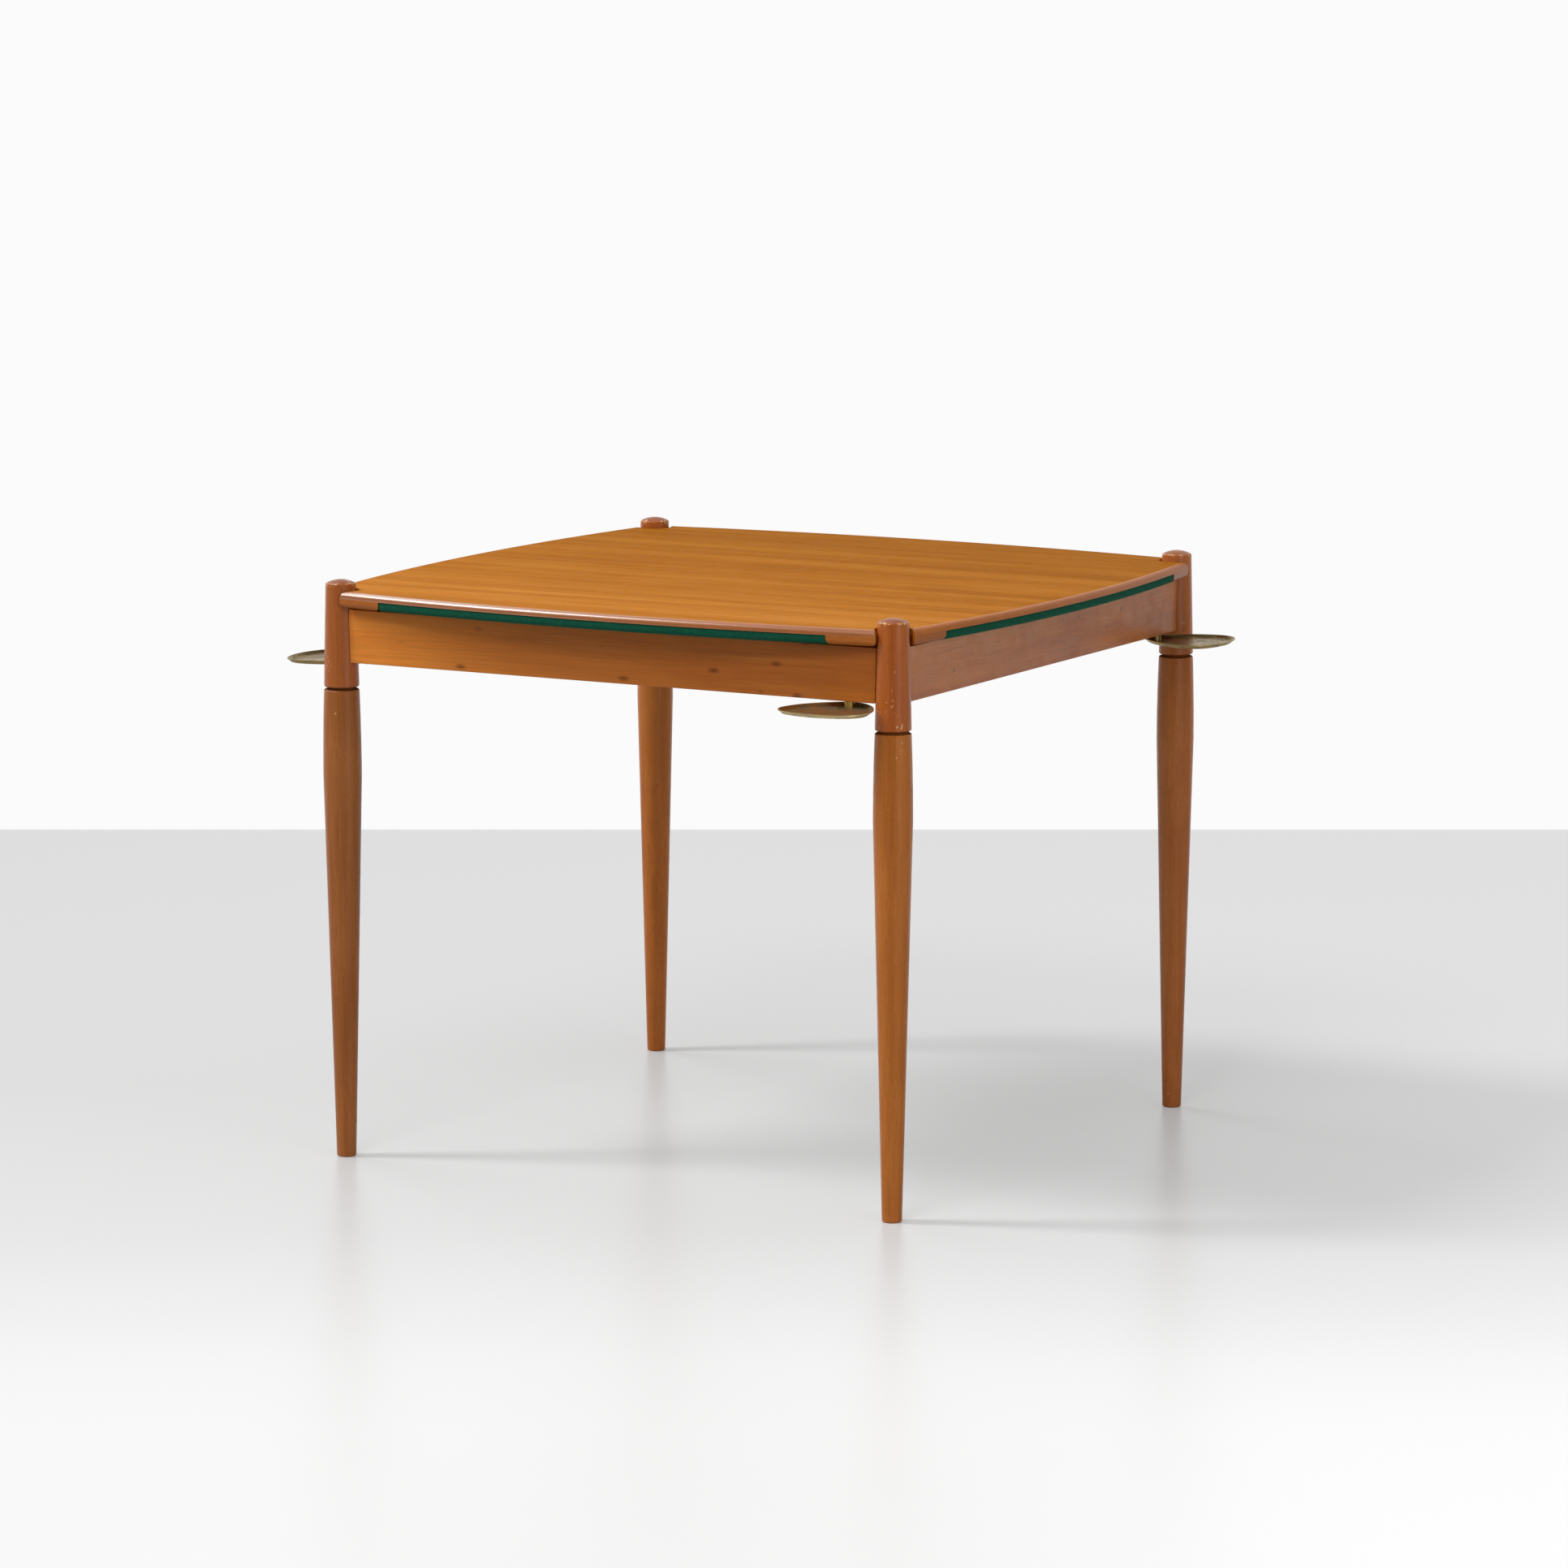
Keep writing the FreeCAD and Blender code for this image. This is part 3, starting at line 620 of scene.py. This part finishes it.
def slotted_screw(bm, foot, crown, seat, tip):
    """Screw that points up: a domed head with a slot below its seat, and a plain shank above it."""
    rise = seat - crown
    ball = (SCREW_HEAD_RADIUS ** 2 + rise ** 2) / (2 * rise)
    steps, around = 9, 36
    profile = []
    for step in range(1, steps + 1):
        across = SCREW_HEAD_RADIUS * step / steps
        profile.append((across, crown + ball - math.sqrt(ball ** 2 - across ** 2)))
    profile += [(SCREW_SHANK_RADIUS, seat), (SCREW_SHANK_RADIUS, tip)]
    turns = [2 * math.pi * i / around for i in range(around)]
    rings = []
    for across, height in profile:
        places = [(across * math.cos(turn), across * math.sin(turn), height) for turn in turns]
        rings.append([bm.verts.new(place) for place in places])
    verts = [vert for ring in rings for vert in ring]
    faces = skin(bm, rings)
    # Two cuts along each wall of the slot, so that its floor can sink between them
    wall = SLOT_HALF * 0.08
    for across in (-SLOT_HALF - wall, -SLOT_HALF, SLOT_HALF, SLOT_HALF + wall):
        edges = list({edge for face in faces for edge in face.edges})
        cut = bmesh.ops.bisect_plane(bm, geom=verts + edges + faces, plane_co=(across, 0, 0),
                                     plane_no=(1, 0, 0))
        verts = [item for item in cut["geom"] if isinstance(item, bmesh.types.BMVert)]
        faces = [item for item in cut["geom"] if isinstance(item, bmesh.types.BMFace)]
    slot_floor = crown + SLOT_DEPTH
    for vert in verts:
        if abs(vert.co.x) <= SLOT_HALF * 1.01 and vert.co.z < slot_floor:
            vert.co.z = slot_floor
    # The four slots point different ways
    bmesh.ops.rotate(bm, verts=verts, matrix=Matrix.Rotation(foot.x * 7, 3, "Z"))
    bmesh.ops.translate(bm, verts=verts, vec=(foot.x, foot.y, 0))


def make_screws():
    """The four tray screws, each below its tray's pivot."""
    low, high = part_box("tray_screws")
    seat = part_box("tray_washers")[0].z
    bm = bmesh.new()
    for count in range(4):
        foot = Matrix.Rotation(math.radians(90 * count), 3, "Z") @ Vector((HALF - PIVOT_PLACE, -HALF, 0))
        slotted_screw(bm, foot, low.z, seat, high.z)
    screws = new_piece("slotted_tray_screws", bm, pin_brass, smooth=False)
    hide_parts("tray_screws")
    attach(screws, "frame")


make_screws()


# Camera, fitted to the photograph

sight = Vector((-0.47838347, 0.86443319, -0.15461082))
camera = bpy.data.objects.new("camera", bpy.data.cameras.new("camera"))
scene.collection.objects.link(camera)
camera.location = (4.01328, -7.20516, 1.74846)
camera.rotation_mode = "QUATERNION"
camera.rotation_quaternion = sight.to_track_quat("-Z", "Y")
camera.data.sensor_width = 36.0
camera.data.lens = 147.93
camera.data.clip_end = 100.0
scene.camera = camera


# Floor, world and lamps

away = Vector((sight.x, sight.y, 0)).normalized()
FLOOR_END = 2.43                # how far behind the table the floor ends
# Painted shade on the floor along its depth: lighter in front, darker towards its far end.
FLOOR_PAINTED_SHADE = [(0.0, 0.635), (0.295, 0.635), (0.345, 0.62), (0.40, 0.578), (0.46, 0.535), (0.526, 0.515),
               (0.62, 0.485), (1.0, 0.485)]
BACKDROP = 0.965                # tone of the wall behind the floor
ROOM = 0.05                     # tone of the room in front of the table, as gloss shows it
SKY_LOW = 0.29                  # light of the room near the horizon and overhead
SKY_HIGH = 0.45
LAMP_TARGET = Vector((0, 0, 0.6))
LAMPS = (                       # name, place, size, power
    ("key", (-4.7, -2.6, 6.6), (1.4, 3.0), 355),
    ("side", (4.4, -2.3, 1.3), (2.4, 2.4), 36),
    ("back", (-5.0, 1.2, 4.4), (3.0, 3.0), 90),
    ("fill", (0.7, -4.1, 4.3), (2.2, 1.4), 72),
)


def make_floor():
    """Pale floor in line with the camera's direction, white in front and grey at its far end.

    A bright shader is what is seen and mirrored, and another one throws the lamps' light back at the table.
    """
    bm = bmesh.new()
    corners = [bm.verts.new((x, y, 0)) for x, y in ((-9, -5), (9, -5), (9, FLOOR_END), (-9, FLOOR_END))]
    bm.faces.new(corners)
    s = Shader("floor")
    depth = s.span(s.axis(s.place(), "Y"), -3.2, FLOOR_END, smooth=False)
    s.finish(Base_Color=s.ramp(depth, [(0.3, grey(0.30)), (0.75, grey(0.80))]), Roughness=0.55,
             Specular_IOR_Level=0.3)
    shade = s.ramp(depth, [(at, grey(tone)) for at, tone in FLOOR_PAINTED_SHADE])
    # Painted light across the floor: darker to the left, lighter to the right.
    across = s.span(s.axis(s.place(), "X"), -1.3, 1.3, 0.89, 1.12, smooth=False)
    shade = s.mix(1.0, shade, across, "MULTIPLY")
    distance = s.vector("LENGTH", s.place(), output="Value")
    glow = s.span(distance, 2.6, 5.5, 0.32, 1.0)
    inputs = {"Base Color": shade, "Roughness": 0.32, "Specular IOR Level": 0.15, "Emission Color": shade,
              "Emission Strength": glow}
    seen = s.node("ShaderNodeBsdfPrincipled", inputs)
    path = s.node("ShaderNodeLightPath").outputs
    mirrored = s.math("MAXIMUM", path["Is Glossy Ray"], path["Is Transmission Ray"])
    straight = s.math("MAXIMUM", path["Is Camera Ray"], mirrored)
    s.feed(s.output.inputs["Surface"], s.choose(straight, s.surface.outputs[0], seen.outputs[0]))
    floor = new_piece("floor", bm, s.material, smooth=False)
    floor.rotation_euler = (0, 0, math.atan2(away.y, away.x) - math.radians(90))


def make_world():
    """Studio: soft overhead light, a white wall behind the floor and a darker room in front of it.

    Gloss shows the wall and the room, and the camera sees the wall.
    """
    world = bpy.data.worlds.new("studio")
    world.use_nodes = True
    scene.world = world
    s = Nodes(world.node_tree)
    direction = s.node("ShaderNodeTexCoord").outputs["Generated"]
    sky = s.ramp(s.axis(direction, "Z"), [(0.0, grey(SKY_LOW)), (0.6, grey(SKY_HIGH))])
    behind = s.vector("DOT_PRODUCT", direction, away, "Value")
    half_way = s.node("ShaderNodeMath", {0: behind, 1: 0.5, 2: 0.5}, operation="MULTIPLY_ADD").outputs[0]
    mirrored = s.ramp(half_way, [(0.52, grey(ROOM)), (0.76, grey(BACKDROP))])
    path = s.node("ShaderNodeLightPath").outputs
    by_gloss = s.choose(path["Is Glossy Ray"], s.background(sky), s.background(mirrored))
    straight = s.math("MAXIMUM", path["Is Camera Ray"], path["Is Transmission Ray"])
    by_sight = s.choose(straight, by_gloss, s.background(grey(BACKDROP)))
    s.node("ShaderNodeOutputWorld", {"Surface": by_sight})


def make_lamps():
    """Softboxes that point at the table."""
    for name, place, size, power in LAMPS:
        data = bpy.data.lights.new(name, "AREA")
        data.shape = "RECTANGLE"
        data.size, data.size_y = size
        data.energy = power
        lamp = bpy.data.objects.new(name, data)
        scene.collection.objects.link(lamp)
        lamp.location = place
        lamp.rotation_mode = "QUATERNION"
        lamp.rotation_quaternion = (LAMP_TARGET - Vector(place)).to_track_quat("-Z", "Y")


make_floor()
make_world()
make_lamps()

scene.view_settings.view_transform = "Standard"
